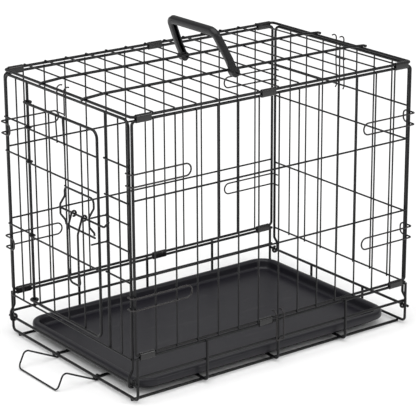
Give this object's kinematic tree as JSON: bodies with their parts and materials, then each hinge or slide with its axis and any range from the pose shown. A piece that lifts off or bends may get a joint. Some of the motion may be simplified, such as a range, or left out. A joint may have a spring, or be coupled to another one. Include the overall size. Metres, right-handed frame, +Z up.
{
  "type": "wire dog crate",
  "caption": "Folding black wire pet crate with a hinged latched door in one end, folding ends, a slide-out tray with a wire stop, corner clips, sprung catches and a top carry handle.",
  "frame": {"origin": "middle of the whole footprint on the floor, with the pan stop laid out in front of the door end", "axes": "+X along the crate's length away from the door end, +Y towards the back long wall, +Z up"},
  "size_m": [0.7036, 0.4176, 0.5926],
  "materials": {
    "frame_wire": "satin black coat on steel wire",
    "latch_wire": "smooth semi-gloss black coat",
    "clip_wire": "black coat with a faint warm brown cast",
    "sleeve": "pressed sheet, glossier black",
    "pan": "satin charcoal plastic",
    "handle": "satin black plastic"
  },
  "bodies": {
    "crate": {"floor_bar_1": "frame_wire", "floor_bar_2": "frame_wire", "floor_bar_3": "frame_wire", "floor_bar_4": "frame_wire", "cross_wire_1": "frame_wire", "cross_wire_2": "frame_wire", "cross_wire_3": "frame_wire", "cross_wire_4": "frame_wire", "cross_wire_5": "frame_wire", "base_front_skirt": "frame_wire", "base_back_skirt": "frame_wire", "base_door_end_wire": "frame_wire", "base_far_end_wire": "frame_wire", "front_wall": "frame_wire", "back_wall": "frame_wire", "front_door_end_upper_clip": "clip_wire", "front_door_end_lower_clip": "clip_wire", "front_far_end_upper_clip": "clip_wire", "front_far_end_lower_clip": "clip_wire", "back_door_end_upper_clip": "clip_wire", "back_door_end_lower_clip": "clip_wire", "back_far_end_upper_clip": "clip_wire", "back_far_end_lower_clip": "clip_wire", "front_upper_door_end_sleeve": "sleeve", "front_upper_middle_sleeve": "sleeve", "front_upper_far_end_sleeve": "sleeve", "front_lower_door_end_sleeve": "sleeve", "front_lower_middle_sleeve": "sleeve", "front_lower_far_end_sleeve": "sleeve", "back_upper_door_end_sleeve": "sleeve", "back_upper_middle_sleeve": "sleeve", "back_upper_far_end_sleeve": "sleeve", "back_lower_door_end_sleeve": "sleeve", "back_lower_middle_sleeve": "sleeve", "back_lower_far_end_sleeve": "sleeve", "top_panel": "frame_wire"},
    "door_end_panel": {"door_end_left_strip": "frame_wire", "door_end_right_strip": "frame_wire", "door_end_top_rail": "frame_wire", "door_end_bottom_rail": "frame_wire", "bolt_keeper_upper": "latch_wire", "bolt_keeper_lower": "latch_wire"},
    "door": {"door": "frame_wire", "latch_bracket": "latch_wire"},
    "latch_bolt": {"latch_bolt": "latch_wire"},
    "latch_handle": {"latch_handle": "latch_wire"},
    "far_end_panel": {"far_end_panel": "frame_wire"},
    "top_catch_door_end": {"top_catch_door_end": "clip_wire"},
    "top_catch_far_end": {"top_catch_far_end": "clip_wire"},
    "base_catch": {"base_catch": "clip_wire"},
    "carry_handle": {"carry_handle": "handle"},
    "pan": {"pan": "pan"},
    "pan_stop": {"pan_stop": "latch_wire"}
  },
  "joints": [
    {"name": "door_end_fold", "type": "hinge", "parent": "crate", "child": "door_end_panel", "pos_m": [-0.27344, 0.00109, 0.036], "axis": [0, 1, 0], "range_deg": [0, 86]},
    {"name": "door_swing", "type": "hinge", "parent": "door_end_panel", "child": "door", "pos_m": [-0.27097, 0.12209, 0.27], "axis": [0, 0, 1], "range_deg": [-150, 0]},
    {"name": "bolt_slide", "type": "slide", "parent": "door", "child": "latch_bolt", "axis": [0, 1, 0], "range_m": [0, 0.022]},
    {"name": "bolt_handle_lift", "type": "hinge", "parent": "latch_bolt", "child": "latch_handle", "pos_m": [-0.28217, -0.05341, 0.302], "axis": [0, 1, 0], "range_deg": [0, 95]},
    {"name": "far_end_fold", "type": "hinge", "parent": "crate", "child": "far_end_panel", "pos_m": [0.3435, 0.00109, 0.036], "axis": [0, 1, 0], "range_deg": [-86, 0]},
    {"name": "door_end_catch_lift", "type": "hinge", "parent": "crate", "child": "top_catch_door_end", "pos_m": [-0.26857, 0.00509, 0.5056], "axis": [0, 1, 0], "range_deg": [0, 95]},
    {"name": "far_end_catch_lift", "type": "hinge", "parent": "crate", "child": "top_catch_far_end", "pos_m": [0.33863, 0.00509, 0.5056], "axis": [0, -1, 0], "range_deg": [0, 95]},
    {"name": "base_catch_lift", "type": "hinge", "parent": "crate", "child": "base_catch", "pos_m": [0.03603, -0.19869, 0.0878], "axis": [-1, 0, 0], "range_deg": [0, 90]},
    {"name": "handle_swing", "type": "hinge", "parent": "crate", "child": "carry_handle", "pos_m": [0.03503, 0.00109, 0.50887], "axis": [0, 1, 0], "range_deg": [-30, 90]},
    {"name": "pan_slide", "type": "slide", "parent": "crate", "child": "pan", "axis": [-1, 0, 0], "range_m": [-0.018, 0.008]},
    {"name": "pan_stop_flip", "type": "hinge", "parent": "crate", "child": "pan_stop", "pos_m": [-0.26857, -0.01091, 0.00716], "axis": [0, -1, 0], "range_deg": [-55, 0]}
  ]
}
